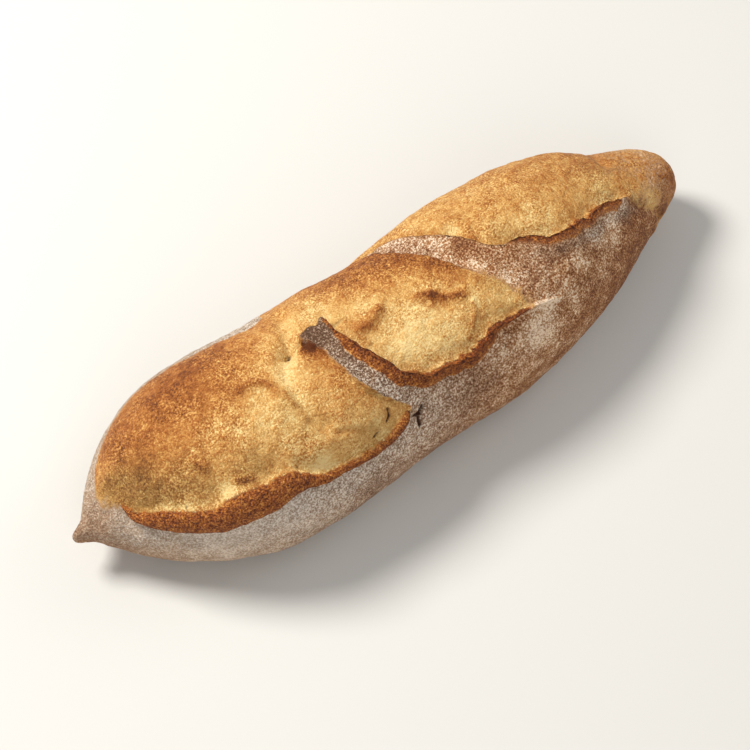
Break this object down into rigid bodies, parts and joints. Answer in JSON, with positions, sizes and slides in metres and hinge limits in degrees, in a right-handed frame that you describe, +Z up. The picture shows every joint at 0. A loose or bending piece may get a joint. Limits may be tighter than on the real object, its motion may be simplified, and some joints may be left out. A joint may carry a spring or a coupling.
{
  "type": "batard loaf",
  "caption": "Crusty white oval bread loaf with a pointed end, a round end and slashes burst open into golden blooms, one under a torn strap of crust.",
  "frame": {"origin": "under the middle of the loaf, on the surface that it lies on", "axes": "+X along the loaf from the pointed end to the round end, +Y towards the far side, +Z up through the slashed crown"},
  "size_m": [0.3034, 0.0904, 0.0714],
  "materials": {
    "crust": "dry matt baked crust, floured grey-brown skin with golden blooms and dark toasted edges"
  },
  "bodies": {
    "root": {"loaf": "crust"}
  },
  "joints": []
}
